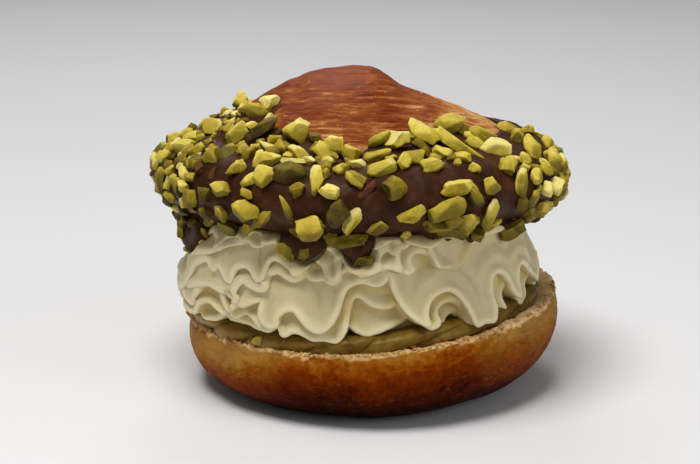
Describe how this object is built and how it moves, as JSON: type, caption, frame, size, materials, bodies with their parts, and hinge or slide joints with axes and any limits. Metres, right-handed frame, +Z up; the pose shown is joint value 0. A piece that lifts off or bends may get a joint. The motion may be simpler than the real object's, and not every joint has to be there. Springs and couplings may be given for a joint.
{
  "type": "filled croissant bun",
  "caption": "Round croissant-dough bun cut across and filled with pistachio cream and piped whipped cream, its peaked lid dipped in chocolate and chopped pistachios.",
  "frame": {"origin": "middle of the flat spot under the bun, on the surface that it stands on", "axes": "+Z up, -Y the front that the picture shows, +X to the right as seen from the front"},
  "size_m": [0.1204, 0.1202, 0.0931],
  "materials": {
    "bun_crust": "baked golden to reddish brown crust, pale and crumbly at the cut",
    "pistachio_cream": "smooth olive-green cream with a wet sheen",
    "whipped_cream": "soft ivory whipped cream",
    "lid_crust": "laminated reddish brown crust with paler streaks and a low sheen",
    "chocolate": "dark chocolate with a satin sheen, set with chopped pistachios",
    "pistachio_pieces": "chopped yellow-green pistachio kernels"
  },
  "bodies": {
    "root": {"bun_base": "bun_crust", "pistachio_cream": "pistachio_cream", "whipped_cream": "whipped_cream", "croissant_lid": "lid_crust", "chocolate_rim": "chocolate"}
  },
  "joints": []
}
